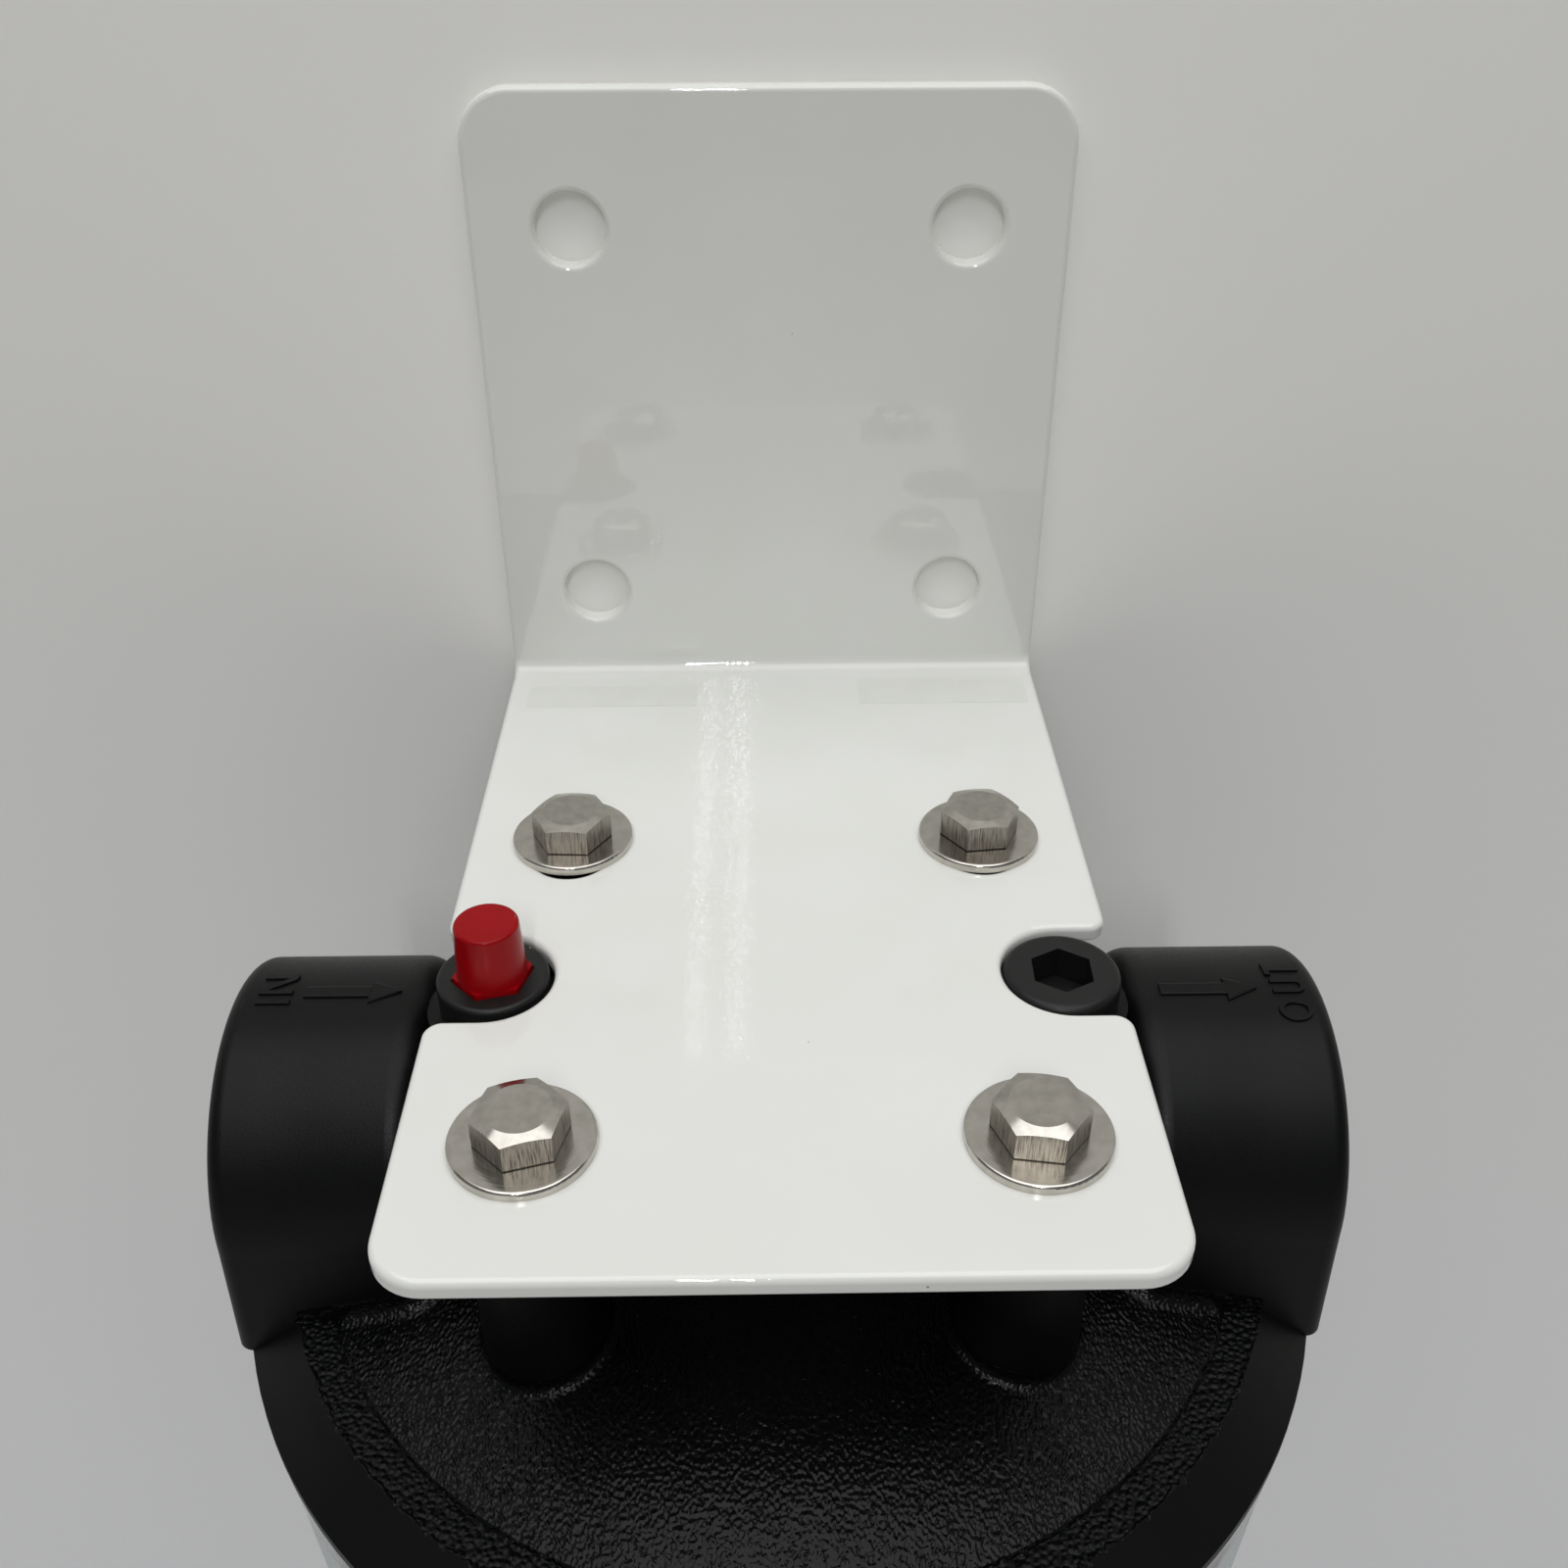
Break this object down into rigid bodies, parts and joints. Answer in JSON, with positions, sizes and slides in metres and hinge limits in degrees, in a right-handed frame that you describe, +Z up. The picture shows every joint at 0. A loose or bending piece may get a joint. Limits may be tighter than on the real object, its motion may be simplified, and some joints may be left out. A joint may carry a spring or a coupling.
{
  "type": "whole house water filter",
  "caption": "Wall bracket with a water filter head bolted under its shelf, a clear screw-on sump, a pleated cartridge, a sprung relief button and threaded ports on both sides.",
  "frame": {"origin": "centre of the four wall holes, on the back face of the bracket that lies on the wall", "axes": "+Z up, +Y into the wall, +X from the inlet on the left to the outlet on the right"},
  "size_m": [0.1898, 0.2017, 0.4484],
  "materials": {
    "bracket_paint": "gloss white powder coat",
    "bolt_steel": "plain zinc plated",
    "washer_zinc": "dull zinc plated",
    "insert_brass": "machined",
    "head_black": "leather grained moulding",
    "fitting_black": "smooth moulding",
    "button_red": "smooth moulding",
    "stem_steel": "turned stainless",
    "spring_steel": "drawn stainless wire",
    "seal_rubber": "moulded",
    "gasket_rubber": "soft white vinyl",
    "sump_clear": "clear, slightly smoky",
    "cap_white": "moulded plastisol",
    "pleat_media": "pleated polyester",
    "core_white": "moulded"
  },
  "bodies": {
    "fixed": {"bracket": "bracket_paint", "bracket_bolts": "bolt_steel", "bolt_washers": "washer_zinc", "boss_inserts": "insert_brass", "head": "head_black", "relief_valve_body": "fitting_black", "relief_valve_o_ring": "seal_rubber", "relief_spring": "spring_steel", "gauge_port_plug": "fitting_black", "gauge_plug_o_ring": "seal_rubber"},
    "button": {"relief_button": "button_red", "relief_stem": "stem_steel", "relief_seal": "seal_rubber"},
    "cartridge": {"cartridge_top_cap": "cap_white", "cartridge_bottom_cap": "cap_white", "cartridge_top_gasket": "gasket_rubber", "cartridge_bottom_gasket": "gasket_rubber", "cartridge_pleats": "pleat_media", "cartridge_core": "core_white"},
    "bowl": {"sump": "sump_clear", "sump_o_ring": "seal_rubber"}
  },
  "joints": [
    {"name": "relief_press", "type": "slide", "parent": "fixed", "child": "button", "axis": [0, 0, -1], "range_m": [0, 0.0025], "stiffness_N_per_m": 400, "springref_m": -0.004, "deforming": ["relief_spring"]},
    {"name": "sump_lower", "type": "slide", "parent": "fixed", "child": "cartridge", "axis": [0, 0, -1], "range_m": [0, 0.024]},
    {"name": "sump_turn", "type": "hinge", "parent": "cartridge", "child": "bowl", "pos_m": [0, -0.1068, -0.24], "axis": [0, 0, -1], "range_deg": [0, 1080]}
  ],
  "couplings": [
    {"joint": "sump_turn", "follows": "sump_lower", "rad_per_m": 785.4}
  ]
}
